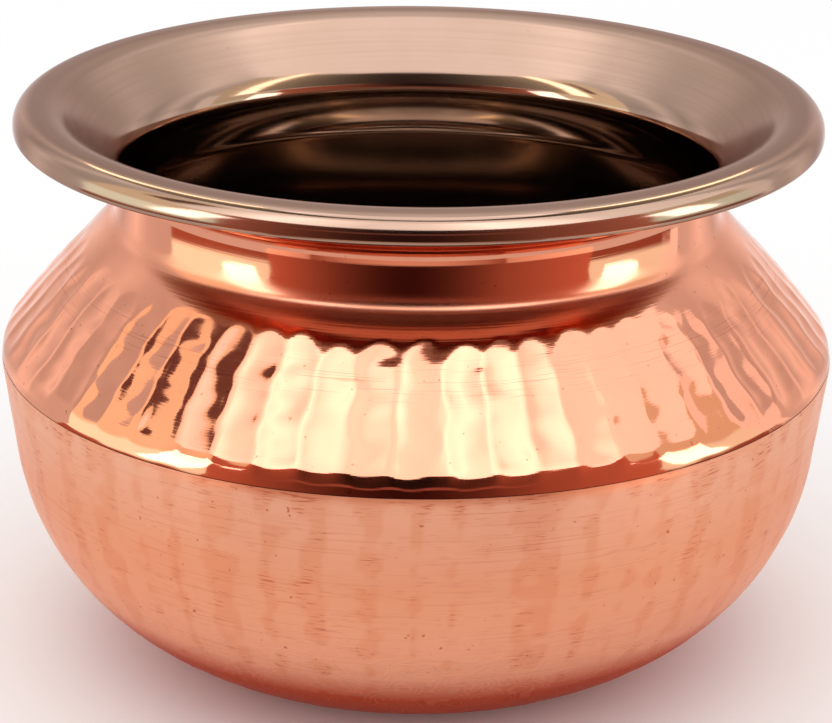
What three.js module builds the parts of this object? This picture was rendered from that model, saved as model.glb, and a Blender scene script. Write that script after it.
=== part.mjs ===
// A handi serving bowl: a spun stainless-steel liner held in a two-piece hammered copper jacket.
// The jacket's bowl and shoulder lap at the belly, and the liner's lip is hemmed over the shoulder's collar.
// Millimetres, +Z up. The origin is the centre of the base, on the surface that the bowl stands on.

import * as THREE from "three";

// Sheets and fits.
const STEEL_SHEET = 0.7;
const COPPER_SHEET = 0.6;
const SEAT_GAP = 0.3; // clearance between two sheets that bear on each other

// The jacket's bowl, on the outside of the copper.
const BASE_RADIUS = 32; // of the flat that the bowl stands on
const BASE_CORNER_RADIUS = 8;
const WALL_STRAIGHT = 15.7; // the nearly upright stretch under the belly
const WALL_TAPER = THREE.MathUtils.degToRad(7);
const BELLY_RADIUS = 73.4;
const BELLY_HEIGHT = 54.8;
const BELLY_CREASE_RADIUS = 7.4; // the round edge between the wall and the shoulder

// The seam on the belly's round edge, where the bowl's rim steps in and laps behind the shoulder.
const SEAM_RISE = 0.6; // from the top of the straight wall up to the step
const SEAM_LAP = 3;

// The jacket's shoulder and neck, on the outside of the copper.
const SHOULDER_HEIGHT = 31.4; // from the belly's widest circle up to the neck's narrowest
const SHOULDER_REACH = 20.8; // from the neck's narrowest circle out to the belly's widest
const SHOULDER_CROWN_RADIUS = 220; // the slight bulge of the slope
const NECK_FILLET_RADIUS = 4; // where the slope turns up into the neck
const NECK_HOLLOW_RADIUS = 25; // the neck's long, nearly upright curve above that
const NECK_HOLLOW_TURN = THREE.MathUtils.degToRad(13);

// The flared rim, on the top of the steel.
const FLARE_HEIGHT = 13.4; // from the neck's narrowest circle up to the rim's top
const FLARE_WIDTH = 14.1;
const FLARE_BEND_RADIUS = 6.5; // where the neck turns out into the flare
const RIM_ROLL_RADIUS = 6; // where the flare levels out into the rim
const RIM_FLAT = 1.6; // the level ring between the flare and the lip

// The lip, where the steel turns down over the copper collar's edge and is folded under it.
const COLLAR_BEND_RADIUS = 1.7; // inside the collar's turned-down edge
const LIP_DROP = 0.4; // the upright stretch between the lip's bend and its fold
const HEM_SLACK = 0.3; // how far the fold's leg stands off the collar, past its clearance

// Faceting of the round shapes.
const SIDES = 48;
const CHORD_ERROR = 0.1;
const WIDEST_STEP = THREE.MathUtils.degToRad(22.5);
const SAME_POINT = 1e-6;

const QUARTER_TURN = Math.PI / 2;

// The neck's place, the rim's height, and depths measured inwards from the outside of the copper.
const NECK_RADIUS = BELLY_RADIUS - SHOULDER_REACH;
const NECK_HEIGHT = BELLY_HEIGHT + SHOULDER_HEIGHT;
const RIM_HEIGHT = NECK_HEIGHT + FLARE_HEIGHT;
const SEAT_DEPTH = COPPER_SHEET + SEAT_GAP; // of a sheet that bears on the inside of the copper
const LINER_WALL_DEPTH = SEAT_DEPTH + COPPER_SHEET + SEAT_GAP; // the liner's belly clears the lap
const WALL_BUILD_UP = SEAT_DEPTH + STEEL_SHEET; // copper, clearance and steel

const point = (radius, height) => new THREE.Vector2(radius, height);
const direction = (angle) => point(Math.cos(angle), Math.sin(angle));
const along = (start, heading, distance) => start.clone().addScaledVector(heading, distance);

// The turn between two points on a curve that keeps their chord close to it.
function arcStep(radius) {
  const turn = 2 * Math.acos(Math.max(0, 1 - CHORD_ERROR / Math.abs(radius)));
  return Math.min(turn, WIDEST_STEP);
}

// Points on an arc, by the angle of its outward normal. A negative radius makes the arc hollow.
function arc(centre, radius, from, to) {
  const steps = Math.max(1, Math.ceil(Math.abs(to - from) / arcStep(radius)));
  return Array.from({ length: steps + 1 }, (_, i) =>
    along(centre, direction(from + ((to - from) * i) / steps), radius),
  );
}

// The centre of the bulging arc that touches a round edge from outside and a hollow one from inside. The arc
// bulges away from the axis, so of the two such centres it is the nearer to the axis.
function crownCentre(edgeCentre, edgeRadius, hollowCentre, hollowRadius, crownRadius) {
  const toEdge = crownRadius - edgeRadius;
  const toHollow = crownRadius + hollowRadius;
  const span = hollowCentre.clone().sub(edgeCentre);
  const offset = (toEdge ** 2 - toHollow ** 2 + span.lengthSq()) / (2 * span.length());
  const inset = Math.sqrt(Math.max(0, toEdge ** 2 - offset ** 2));
  const foot = along(edgeCentre, span.normalize(), offset);
  return along(foot, point(-span.y, span.x), inset);
}

// The outer face of one sheet from its flat floor up to the neck, as tangent arcs. Its straight wall is the line
// between two of them. The other faces of that sheet run parallel inside this one.
function bodyShape({ floor, cornerRadius, wallDepth, neckDepth }) {
  const wallNormal = direction(-WALL_TAPER);
  const wallUp = direction(QUARTER_TURN - WALL_TAPER);
  const creaseCentre = point(BELLY_RADIUS - BELLY_CREASE_RADIUS, BELLY_HEIGHT);
  const creaseRadius = BELLY_CREASE_RADIUS - wallDepth;
  const wallFoot = along(along(creaseCentre, wallNormal, creaseRadius), wallUp, -WALL_STRAIGHT);

  // The bowl's arc touches the foot of the straight wall and the corner at the base.
  const cornerCentre = point(BASE_RADIUS, floor + cornerRadius);
  const rise = wallFoot.clone().sub(cornerCentre);
  const bowlRadius = (rise.lengthSq() - cornerRadius ** 2) / (2 * (rise.dot(wallNormal) - cornerRadius));
  const bowlCentre = along(wallFoot, wallNormal, -bowlRadius);
  const toCorner = cornerCentre.clone().sub(bowlCentre);
  const cornerAngle = Math.atan2(toCorner.y, toCorner.x);

  // The neck's hollow runs down into a fillet, which is no larger than leaves it clear of the belly's edge.
  const hollowCentre = point(NECK_RADIUS + NECK_HOLLOW_RADIUS, NECK_HEIGHT);
  const hollowNormal = direction(NECK_HOLLOW_TURN);
  const hollowFoot = along(hollowCentre, hollowNormal, -NECK_HOLLOW_RADIUS);
  const climb = hollowFoot.clone().sub(creaseCentre);
  const climbSquared = climb.lengthSq() - BELLY_CREASE_RADIUS ** 2;
  const filletLimit = climbSquared / (2 * (BELLY_CREASE_RADIUS - climb.dot(hollowNormal)));
  const filletRadius = Math.min(NECK_FILLET_RADIUS, filletLimit);
  const filletCentre = along(hollowFoot, hollowNormal, filletRadius);

  // The crowned shoulder touches the belly's round edge and the neck's fillet.
  const neckRadius = filletRadius + neckDepth;
  const crownRadius = SHOULDER_CROWN_RADIUS - wallDepth;
  const crown = crownCentre(creaseCentre, creaseRadius, filletCentre, neckRadius, crownRadius);
  const creaseEnd = creaseCentre.clone().sub(crown).angle();
  const neckStart = filletCentre.clone().sub(crown).angle();

  return {
    creaseRadius,
    // From the floor's edge to an angle on the belly's round edge.
    lowerFace: (thickness, toAngle) => [
      ...arc(cornerCentre, cornerRadius - thickness, -QUARTER_TURN, cornerAngle),
      ...arc(bowlCentre, bowlRadius - thickness, cornerAngle, -WALL_TAPER),
      ...arc(creaseCentre, creaseRadius - thickness, -WALL_TAPER, toAngle),
    ],
    // A stretch of the belly's round edge.
    creaseFace: (thickness, from, to) => arc(creaseCentre, creaseRadius - thickness, from, to),
    // From an angle on the belly's round edge to the neck's narrowest circle.
    upperFace: (thickness, fromAngle) => [
      ...arc(creaseCentre, creaseRadius - thickness, fromAngle, creaseEnd),
      ...arc(crown, crownRadius - thickness, creaseEnd, neckStart),
      ...arc(filletCentre, -(neckRadius + thickness), neckStart, NECK_HOLLOW_TURN),
      ...arc(hollowCentre, -(NECK_HOLLOW_RADIUS + neckDepth + thickness), NECK_HOLLOW_TURN, 0),
    ],
  };
}

const LIP_RADIUS = COLLAR_BEND_RADIUS + WALL_BUILD_UP;
const HEM_CORNER_RADIUS = STEEL_SHEET + SEAT_GAP;
const HEM_FLAT = COPPER_SHEET + HEM_SLACK; // the level stretch between the fold's two corners
const throatRadius = NECK_RADIUS - WALL_BUILD_UP; // inside the steel, at the neck's narrowest circle
const bendCentre = point(throatRadius + FLARE_BEND_RADIUS, NECK_HEIGHT);
const rollCentre = point(throatRadius + FLARE_WIDTH, RIM_HEIGHT - RIM_ROLL_RADIUS);
const lipCentre = point(rollCentre.x + RIM_FLAT, RIM_HEIGHT - LIP_RADIUS);
const hemOuterCorner = point(lipCentre.x + LIP_RADIUS - HEM_CORNER_RADIUS, lipCentre.y - LIP_DROP);
const hemInnerCorner = point(hemOuterCorner.x - HEM_FLAT, hemOuterCorner.y);

// The normal of the flare's straight slope, which touches the bend below it and the roll above it.
const flareSpan = rollCentre.clone().sub(bendCentre);
const flareTurn = Math.acos((RIM_ROLL_RADIUS - FLARE_BEND_RADIUS) / flareSpan.length()) - flareSpan.angle();
const flareNormal = Math.PI - flareTurn;

// The rim from the neck's narrowest circle, up the flare, over the lip and straight down. The flare's slope is
// the line between two arcs on the steel's top, and a face at a depth under that runs parallel to it.
function rimFace(depth) {
  const lip = arc(lipCentre, LIP_RADIUS - depth, QUARTER_TURN, 0);
  return [
    ...arc(bendCentre, FLARE_BEND_RADIUS - depth, Math.PI, flareNormal),
    ...arc(rollCentre, RIM_ROLL_RADIUS - depth, flareNormal, QUARTER_TURN),
    ...lip,
    along(lip.at(-1), point(0, -1), LIP_DROP),
  ];
}

// The steel's edge from the foot of the lip, under the collar's edge and up inside its bend.
function hemFace(thickness) {
  const radius = HEM_CORNER_RADIUS - thickness;
  const tuck = [
    ...arc(hemOuterCorner, radius, 0, -QUARTER_TURN),
    ...arc(hemInnerCorner, radius, -QUARTER_TURN, -Math.PI),
  ];
  const legInset = hemInnerCorner.x - SEAT_GAP - lipCentre.x;
  const legRise = Math.sqrt((COLLAR_BEND_RADIUS - SEAT_GAP) ** 2 - legInset ** 2);
  return [...tuck, point(tuck.at(-1).x, lipCentre.y + legRise)];
}

// Spins a closed section about the Z axis. Repeated points are dropped first.
function spin(name, section, material) {
  const outline = section.filter((p, i) => i === 0 || p.distanceTo(section[i - 1]) > SAME_POINT);
  const geometry = new THREE.LatheGeometry(outline, SIDES).rotateX(QUARTER_TURN);
  const mesh = new THREE.Mesh(geometry, material);
  mesh.name = name;
  return mesh;
}

// A section that meets the axis: up its outer face and back down its inner face.
const cupSection = (outer, inner) => [
  point(0, outer[0].y),
  ...outer,
  ...inner.toReversed(),
  point(0, inner[0].y),
];

// A ring's section, closed on its first point.
const ringSection = (outer, inner) => [...outer, ...inner.toReversed(), outer[0].clone()];

const steel = new THREE.MeshStandardMaterial({ color: 0xc4aa9c, metalness: 1, roughness: 0.22 });
const hammeredCopper = new THREE.MeshStandardMaterial({ color: 0xe8a07c, metalness: 1, roughness: 0.16 });
const satinCopper = new THREE.MeshStandardMaterial({ color: 0xdf9670, metalness: 1, roughness: 0.3 });

const jacket = bodyShape({ floor: 0, cornerRadius: BASE_CORNER_RADIUS, wallDepth: 0, neckDepth: 0 });
const liner = bodyShape({
  floor: SEAT_DEPTH,
  cornerRadius: BASE_CORNER_RADIUS - LINER_WALL_DEPTH,
  wallDepth: LINER_WALL_DEPTH,
  neckDepth: SEAT_DEPTH,
});

// Angles on the belly's round edge, from below: the inner and the outer corner of the bowl's step, the
// shoulder's edge a clearance above it, and the top of the lap.
const lapRadius = jacket.creaseRadius - SEAT_DEPTH;
const stepFoot = SEAM_RISE / jacket.creaseRadius - WALL_TAPER;
const stepTop = stepFoot + COPPER_SHEET / lapRadius;
const shoulderEdge = stepTop + SEAT_GAP / jacket.creaseRadius;
const lapTop = shoulderEdge + SEAM_LAP / lapRadius;

function steelLiner() {
  const face = (thickness) => [
    ...liner.lowerFace(thickness, 0),
    ...liner.upperFace(thickness, 0),
    ...rimFace(STEEL_SHEET - thickness),
    ...hemFace(STEEL_SHEET - thickness),
  ];
  return spin("steel_liner", cupSection(face(0), face(STEEL_SHEET)), steel);
}

function copperShoulder() {
  const face = (thickness) => [
    ...jacket.upperFace(thickness, shoulderEdge),
    ...rimFace(WALL_BUILD_UP - thickness),
  ];
  return spin("copper_shoulder", ringSection(face(0), face(COPPER_SHEET)), hammeredCopper);
}

function copperBowl() {
  const face = (thickness, step) => [
    ...jacket.lowerFace(thickness, step),
    ...jacket.creaseFace(SEAT_DEPTH + thickness, step, lapTop),
  ];
  return spin("copper_bowl", cupSection(face(0, stepTop), face(COPPER_SHEET, stepFoot)), satinCopper);
}

const handi = new THREE.Group();
handi.name = "handi";
handi.add(steelLiner(), copperShoulder(), copperBowl());

export default handi;
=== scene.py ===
"""A handi serving bowl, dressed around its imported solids.

A spun steel liner sits in a two-piece copper jacket, and its lip is hemmed over the jacket's collar. Each
sheet is a closed section drawn in the XZ plane and spun about the bowl's axis. The copper is then struck
with hammer marks. Sizes are in millimetres, meshes in metres, and the frame is the solids' own: +Z up,
origin under the base.
"""

from __future__ import annotations

import logging
import math
from dataclasses import dataclass, replace
from enum import Enum

import bpy
import numpy as np
from mathutils import Matrix, Vector


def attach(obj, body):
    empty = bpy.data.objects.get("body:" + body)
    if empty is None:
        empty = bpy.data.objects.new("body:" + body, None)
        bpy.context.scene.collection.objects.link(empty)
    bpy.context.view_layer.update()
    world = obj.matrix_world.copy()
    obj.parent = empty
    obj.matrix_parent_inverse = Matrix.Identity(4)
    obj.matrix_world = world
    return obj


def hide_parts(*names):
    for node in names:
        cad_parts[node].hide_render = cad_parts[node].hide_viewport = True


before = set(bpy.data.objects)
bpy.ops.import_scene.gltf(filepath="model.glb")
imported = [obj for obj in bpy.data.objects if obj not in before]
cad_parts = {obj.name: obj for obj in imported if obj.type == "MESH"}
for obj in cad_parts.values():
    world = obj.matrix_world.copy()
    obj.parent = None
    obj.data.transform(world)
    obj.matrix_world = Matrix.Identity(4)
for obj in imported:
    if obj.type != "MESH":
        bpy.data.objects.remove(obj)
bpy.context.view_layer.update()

BODY = "root"
MM = 0.001
QUARTER_TURN = math.pi / 2
FULL_TURN = 2 * math.pi
SAME_POINT = 1e-6
SMOOTH_ANGLE = math.radians(40.0)

Point = tuple[float, float]
Section = list[Point]
Span = tuple[float, float]
Colour = tuple[float, float, float, float]

log = logging.getLogger("handi")


def rgb(red: float, green: float, blue: float) -> Colour:
    """An opaque linear colour."""
    return red, green, blue, 1.0


class Slot(Enum):
    """The record's material slots."""

    LINER_STEEL = "liner_steel"
    HAMMERED_COPPER = "hammered_copper"
    SATIN_COPPER = "satin_copper"


class Use(Enum):
    """What a lamp is for: to show in the metal, or to light the table."""

    METAL = "metal"
    TABLE = "table"


class Layer(Enum):
    """Names of the values that the meshes carry for their materials."""

    ALONG = "along"
    RIDGE = "ridge"
    TONE = "tone"


class Tone(Enum):
    """Tones of the room and of the cards that the metal reflects."""

    BLACK = rgb(0.025, 0.012, 0.01)
    DUSK = rgb(0.05, 0.012, 0.009)
    UMBER = rgb(0.06, 0.04, 0.034)
    LINE = rgb(0.40, 0.15, 0.12)
    RUST = rgb(0.42, 0.14, 0.09)
    BROWN = rgb(0.22, 0.11, 0.10)
    PEACH = rgb(0.96, 0.68, 0.55)
    AMBER = rgb(1.12, 1.02, 0.78)
    CREAM = rgb(1.35, 1.6, 1.4)
    MIST = rgb(0.85, 0.85, 0.85)
    WHITE = rgb(1.0, 1.0, 1.0)
    GLOW = rgb(1.4, 1.4, 1.4)


@dataclass(frozen=True)
class BowlSizes:
    """The bowl's driving sizes in millimetres, the same as the solids'."""

    steel_sheet: float = 0.7
    copper_sheet: float = 0.6
    seat_gap: float = 0.3
    base_radius: float = 32.0
    base_corner_radius: float = 8.0
    wall_straight: float = 15.7
    wall_taper: float = math.radians(7.0)
    belly_radius: float = 73.4
    belly_height: float = 54.8
    belly_crease_radius: float = 7.4
    seam_rise: float = 0.6
    seam_lap: float = 3.0
    seam_line: float = 0.12
    shoulder_height: float = 31.4
    shoulder_reach: float = 20.8
    shoulder_crown_radius: float = 220.0
    neck_fillet_radius: float = 4.0
    neck_hollow_radius: float = 25.0
    neck_hollow_turn: float = math.radians(13.0)
    flare_height: float = 13.4
    flare_width: float = 14.1
    flare_bend_radius: float = 6.5
    rim_roll_radius: float = 6.0
    rim_flat: float = 1.6
    collar_bend_radius: float = 1.7
    lip_drop: float = 0.4
    hem_slack: float = 0.3

    @property
    def neck_radius(self) -> float:
        """Radius of the neck's narrowest circle, on the copper."""
        return self.belly_radius - self.shoulder_reach

    @property
    def neck_height(self) -> float:
        """Height of the neck's narrowest circle."""
        return self.belly_height + self.shoulder_height

    @property
    def rim_height(self) -> float:
        """Height of the rim's top."""
        return self.neck_height + self.flare_height

    @property
    def seat_depth(self) -> float:
        """Depth of a sheet that bears on the inside of the copper."""
        return self.copper_sheet + self.seat_gap

    @property
    def liner_wall_depth(self) -> float:
        """Depth of the liner's belly, which clears the lap at the seam."""
        return self.seat_depth + self.copper_sheet + self.seat_gap

    @property
    def wall_build_up(self) -> float:
        """Thickness of copper, clearance and steel together."""
        return self.seat_depth + self.steel_sheet


SIZES = BowlSizes()


def heading(angle: float) -> Point:
    """The unit step at an angle above the outward horizontal."""
    return math.cos(angle), math.sin(angle)


def stepped(start: Point, direction: Point, distance: float) -> Point:
    """The point at a distance from another along a direction."""
    return start[0] + direction[0] * distance, start[1] + direction[1] * distance


def angle_from(start: Point, end: Point) -> float:
    """The angle of the line from one point to another."""
    return math.atan2(end[1] - start[1], end[0] - start[0])


def arc(centre: Point, radius: float, start: float, end: float, pitch: float) -> Section:
    """Draws an arc by the angle of its outward normal. A negative radius makes it hollow.

    Args:
        centre: Centre of the arc.
        radius: Radius of the arc.
        start: Angle of its first point.
        end: Angle of its last point.
        pitch: Longest distance between two of its points.

    Returns:
        The arc's points.
    """
    widest_step = math.radians(9.0)
    turn = abs(end - start)
    steps = max(1, math.ceil(turn * abs(radius) / pitch), math.ceil(turn / widest_step))
    return [stepped(centre, heading(float(a)), radius) for a in np.linspace(start, end, steps + 1)]


def refined(points: Section, pitch: float) -> Section:
    """Divides the long straight stretches of a section and drops its repeated points.

    Args:
        points: The section.
        pitch: Longest distance between two points of the result.

    Returns:
        The refined section.
    """
    result = [points[0]]
    for end in points[1:]:
        start = result[-1]
        length = math.dist(start, end)
        if length < SAME_POINT:
            continue
        steps = max(1, math.ceil(length / pitch))
        result += [
            (start[0] + (end[0] - start[0]) * i / steps, start[1] + (end[1] - start[1]) * i / steps)
            for i in range(1, steps + 1)
        ]
    return result


@dataclass(frozen=True)
class BodyShape:
    """The outer face of one sheet from its floor up to the neck, with the faces parallel inside it.

    It is made of tangent arcs. Depths are measured inwards from the outside of the copper.

    Attributes:
        floor: Height of the face at the floor.
        corner_radius: Radius between the floor and the bowl.
        wall_depth: Depth of the face at the belly and the shoulder.
        neck_depth: Depth of the face at the neck.
        sizes: The bowl's sizes.
    """

    floor: float
    corner_radius: float
    wall_depth: float
    neck_depth: float
    sizes: BowlSizes = SIZES

    @property
    def crease_centre(self) -> Point:
        """Centre of the round edge at the belly."""
        return self.sizes.belly_radius - self.sizes.belly_crease_radius, self.sizes.belly_height

    @property
    def crease_radius(self) -> float:
        """Radius of the round edge at the belly."""
        return self.sizes.belly_crease_radius - self.wall_depth

    @property
    def hollow_centre(self) -> Point:
        """Centre of the neck's long hollow."""
        return self.sizes.neck_radius + self.sizes.neck_hollow_radius, self.sizes.neck_height

    @property
    def fillet_centre(self) -> Point:
        """Centre of the fillet between the shoulder and the neck's hollow."""
        inset = self.sizes.neck_fillet_radius - self.sizes.neck_hollow_radius
        return stepped(self.hollow_centre, heading(self.sizes.neck_hollow_turn), inset)

    @property
    def fillet_radius(self) -> float:
        """Radius of that fillet on this face."""
        return self.sizes.neck_fillet_radius + self.neck_depth

    @property
    def fillet_top(self) -> float:
        """Height at which that fillet runs into the neck's hollow."""
        return self.fillet_centre[1] - self.fillet_radius * math.sin(self.sizes.neck_hollow_turn)

    @property
    def crown_radius(self) -> float:
        """Radius of the slight bulge of the shoulder."""
        return self.sizes.shoulder_crown_radius - self.wall_depth

    @property
    def crown_centre(self) -> Point:
        """Centre of the shoulder's arc, which touches the belly's edge and the neck's fillet."""
        to_crease = self.crown_radius - self.crease_radius
        to_neck = self.crown_radius + self.fillet_radius
        span = math.dist(self.crease_centre, self.fillet_centre)
        offset = (to_crease**2 - to_neck**2 + span**2) / (2 * span)
        inset = math.sqrt(to_crease**2 - offset**2)
        up_slope = angle_from(self.crease_centre, self.fillet_centre)
        foot = stepped(self.crease_centre, heading(up_slope), offset)
        return stepped(foot, heading(up_slope + QUARTER_TURN), inset)

    @property
    def crease_end(self) -> float:
        """Angle at which the belly's edge runs into the shoulder."""
        return angle_from(self.crown_centre, self.crease_centre)

    @property
    def neck_start(self) -> float:
        """Angle at which the shoulder runs into the neck."""
        return angle_from(self.crown_centre, self.fillet_centre)

    def lower_face(self, thickness: float, to_angle: float, pitch: float) -> Section:
        """Draws the face from the floor's edge to an angle on the belly's round edge.

        Args:
            thickness: Depth of the face inside the sheet.
            to_angle: Angle on the belly's round edge at which it ends.
            pitch: Longest distance between two points on an arc.

        Returns:
            The face's points, from below.
        """
        taper = self.sizes.wall_taper
        wall_foot = stepped(self.crease_centre, heading(-taper), self.crease_radius)
        wall_foot = stepped(wall_foot, heading(QUARTER_TURN - taper), -self.sizes.wall_straight)
        corner = (self.sizes.base_radius, self.floor + self.corner_radius)
        rise = (wall_foot[0] - corner[0], wall_foot[1] - corner[1])
        reach = rise[0] * math.cos(taper) - rise[1] * math.sin(taper)
        power = rise[0] ** 2 + rise[1] ** 2 - self.corner_radius**2
        bowl_radius = power / (2 * (reach - self.corner_radius))
        bowl_centre = stepped(wall_foot, heading(-taper), -bowl_radius)
        corner_angle = angle_from(bowl_centre, corner)
        return [
            *arc(corner, self.corner_radius - thickness, -QUARTER_TURN, corner_angle, pitch),
            *arc(bowl_centre, bowl_radius - thickness, corner_angle, -taper, pitch),
            *self.crease_face(thickness, -taper, to_angle, pitch),
        ]

    def crease_face(self, thickness: float, start: float, end: float, pitch: float) -> Section:
        """Draws a stretch of the belly's round edge."""
        return arc(self.crease_centre, self.crease_radius - thickness, start, end, pitch)

    def upper_face(self, thickness: float, from_angle: float, pitch: float) -> Section:
        """Draws the face from an angle on the belly's round edge to the neck's narrowest circle.

        Args:
            thickness: Depth of the face inside the sheet.
            from_angle: Angle on the belly's round edge at which it starts.
            pitch: Longest distance between two points on an arc.

        Returns:
            The face's points, from below.
        """
        turn = self.sizes.neck_hollow_turn
        hollow_radius = self.sizes.neck_hollow_radius + self.neck_depth + thickness
        return [
            *self.crease_face(thickness, from_angle, self.crease_end, pitch),
            *arc(self.crown_centre, self.crown_radius - thickness, self.crease_end, self.neck_start, pitch),
            *arc(self.fillet_centre, -(self.fillet_radius + thickness), self.neck_start, turn, pitch),
            *arc(self.hollow_centre, -hollow_radius, turn, 0.0, pitch),
        ]


@dataclass(frozen=True)
class RimShape:
    """The flare, the lip and the fold under it, on the top of the steel and parallel under it."""

    sizes: BowlSizes = SIZES

    @property
    def lip_radius(self) -> float:
        """Radius of the lip's bend, on the steel."""
        return self.sizes.collar_bend_radius + self.sizes.wall_build_up

    @property
    def throat_radius(self) -> float:
        """Radius inside the steel, at the neck's narrowest circle."""
        return self.sizes.neck_radius - self.sizes.wall_build_up

    @property
    def bend_centre(self) -> Point:
        """Centre of the bend from the neck into the flare."""
        return self.throat_radius + self.sizes.flare_bend_radius, self.sizes.neck_height

    @property
    def roll_centre(self) -> Point:
        """Centre of the roll from the flare into the level rim."""
        height = self.sizes.rim_height - self.sizes.rim_roll_radius
        return self.throat_radius + self.sizes.flare_width, height

    @property
    def flare_normal(self) -> float:
        """Angle of the normal of the flare's straight slope, which touches the bend and the roll."""
        span = math.dist(self.bend_centre, self.roll_centre)
        difference = self.sizes.rim_roll_radius - self.sizes.flare_bend_radius
        return math.pi - math.acos(difference / span) + angle_from(self.bend_centre, self.roll_centre)

    @property
    def lip_centre(self) -> Point:
        """Centre of the lip's bend."""
        return self.roll_centre[0] + self.sizes.rim_flat, self.sizes.rim_height - self.lip_radius

    def rim_face(self, depth: float, pitch: float) -> Section:
        """Draws the face up the flare, over the lip and straight down.

        Args:
            depth: Depth of the face under the steel's top.
            pitch: Longest distance between two points.

        Returns:
            The face's points, from the neck's narrowest circle.
        """
        bend_radius = self.sizes.flare_bend_radius - depth
        roll_radius = self.sizes.rim_roll_radius - depth
        lip = arc(self.lip_centre, self.lip_radius - depth, QUARTER_TURN, 0.0, pitch)
        return [
            *arc(self.bend_centre, bend_radius, math.pi, self.flare_normal, pitch),
            *arc(self.roll_centre, roll_radius, self.flare_normal, QUARTER_TURN, pitch),
            *lip,
            stepped(lip[-1], (0.0, -1.0), self.sizes.lip_drop),
        ]

    def hem_face(self, thickness: float, pitch: float) -> Section:
        """Draws the steel's edge from the foot of the lip, under the collar's edge and up inside its bend.

        Args:
            thickness: Depth of the face inside the sheet.
            pitch: Longest distance between two points.

        Returns:
            The face's points.
        """
        corner_radius = self.sizes.steel_sheet + self.sizes.seat_gap
        outer_reach = self.lip_centre[0] + self.lip_radius - corner_radius
        outer = (outer_reach, self.lip_centre[1] - self.sizes.lip_drop)
        inner = (outer[0] - self.sizes.copper_sheet - self.sizes.hem_slack, outer[1])
        radius = corner_radius - thickness
        tuck = [
            *arc(outer, radius, 0.0, -QUARTER_TURN, pitch),
            *arc(inner, radius, -QUARTER_TURN, -math.pi, pitch),
        ]
        leg_inset = inner[0] - self.sizes.seat_gap - self.lip_centre[0]
        leg_reach = self.sizes.collar_bend_radius - self.sizes.seat_gap
        leg_top = self.lip_centre[1] + math.sqrt(leg_reach**2 - leg_inset**2)
        return [*tuck, (tuck[-1][0], leg_top)]


JACKET = BodyShape(floor=0.0, corner_radius=SIZES.base_corner_radius, wall_depth=0.0, neck_depth=0.0)
LINER = BodyShape(
    floor=SIZES.seat_depth,
    corner_radius=SIZES.base_corner_radius - SIZES.liner_wall_depth,
    wall_depth=SIZES.liner_wall_depth,
    neck_depth=SIZES.seat_depth,
)
RIM = RimShape()


@dataclass(frozen=True)
class SeamAngles:
    """Angles on the belly's round edge, where the bowl's rim steps in and laps behind the shoulder."""

    sizes: BowlSizes = SIZES

    @property
    def lap_radius(self) -> float:
        """Radius of the lap's outer face."""
        return self.sizes.belly_crease_radius - self.sizes.seat_depth

    @property
    def step_foot(self) -> float:
        """Inner corner of the step."""
        return self.sizes.seam_rise / self.sizes.belly_crease_radius - self.sizes.wall_taper

    @property
    def shoulder_edge(self) -> float:
        """The shoulder's lower edge, a clearance above the step."""
        outer_step = self.step_foot + self.sizes.copper_sheet / self.lap_radius
        return outer_step + self.sizes.seat_gap / self.sizes.belly_crease_radius

    @property
    def step_top(self) -> float:
        """Outer corner of the step, drawn up to the fine line of the closed seam."""
        return self.shoulder_edge - self.sizes.seam_line / self.sizes.belly_crease_radius

    @property
    def lap_top(self) -> float:
        """Top of the lap."""
        return self.shoulder_edge + self.sizes.seam_lap / self.lap_radius


SEAM = SeamAngles()


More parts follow.
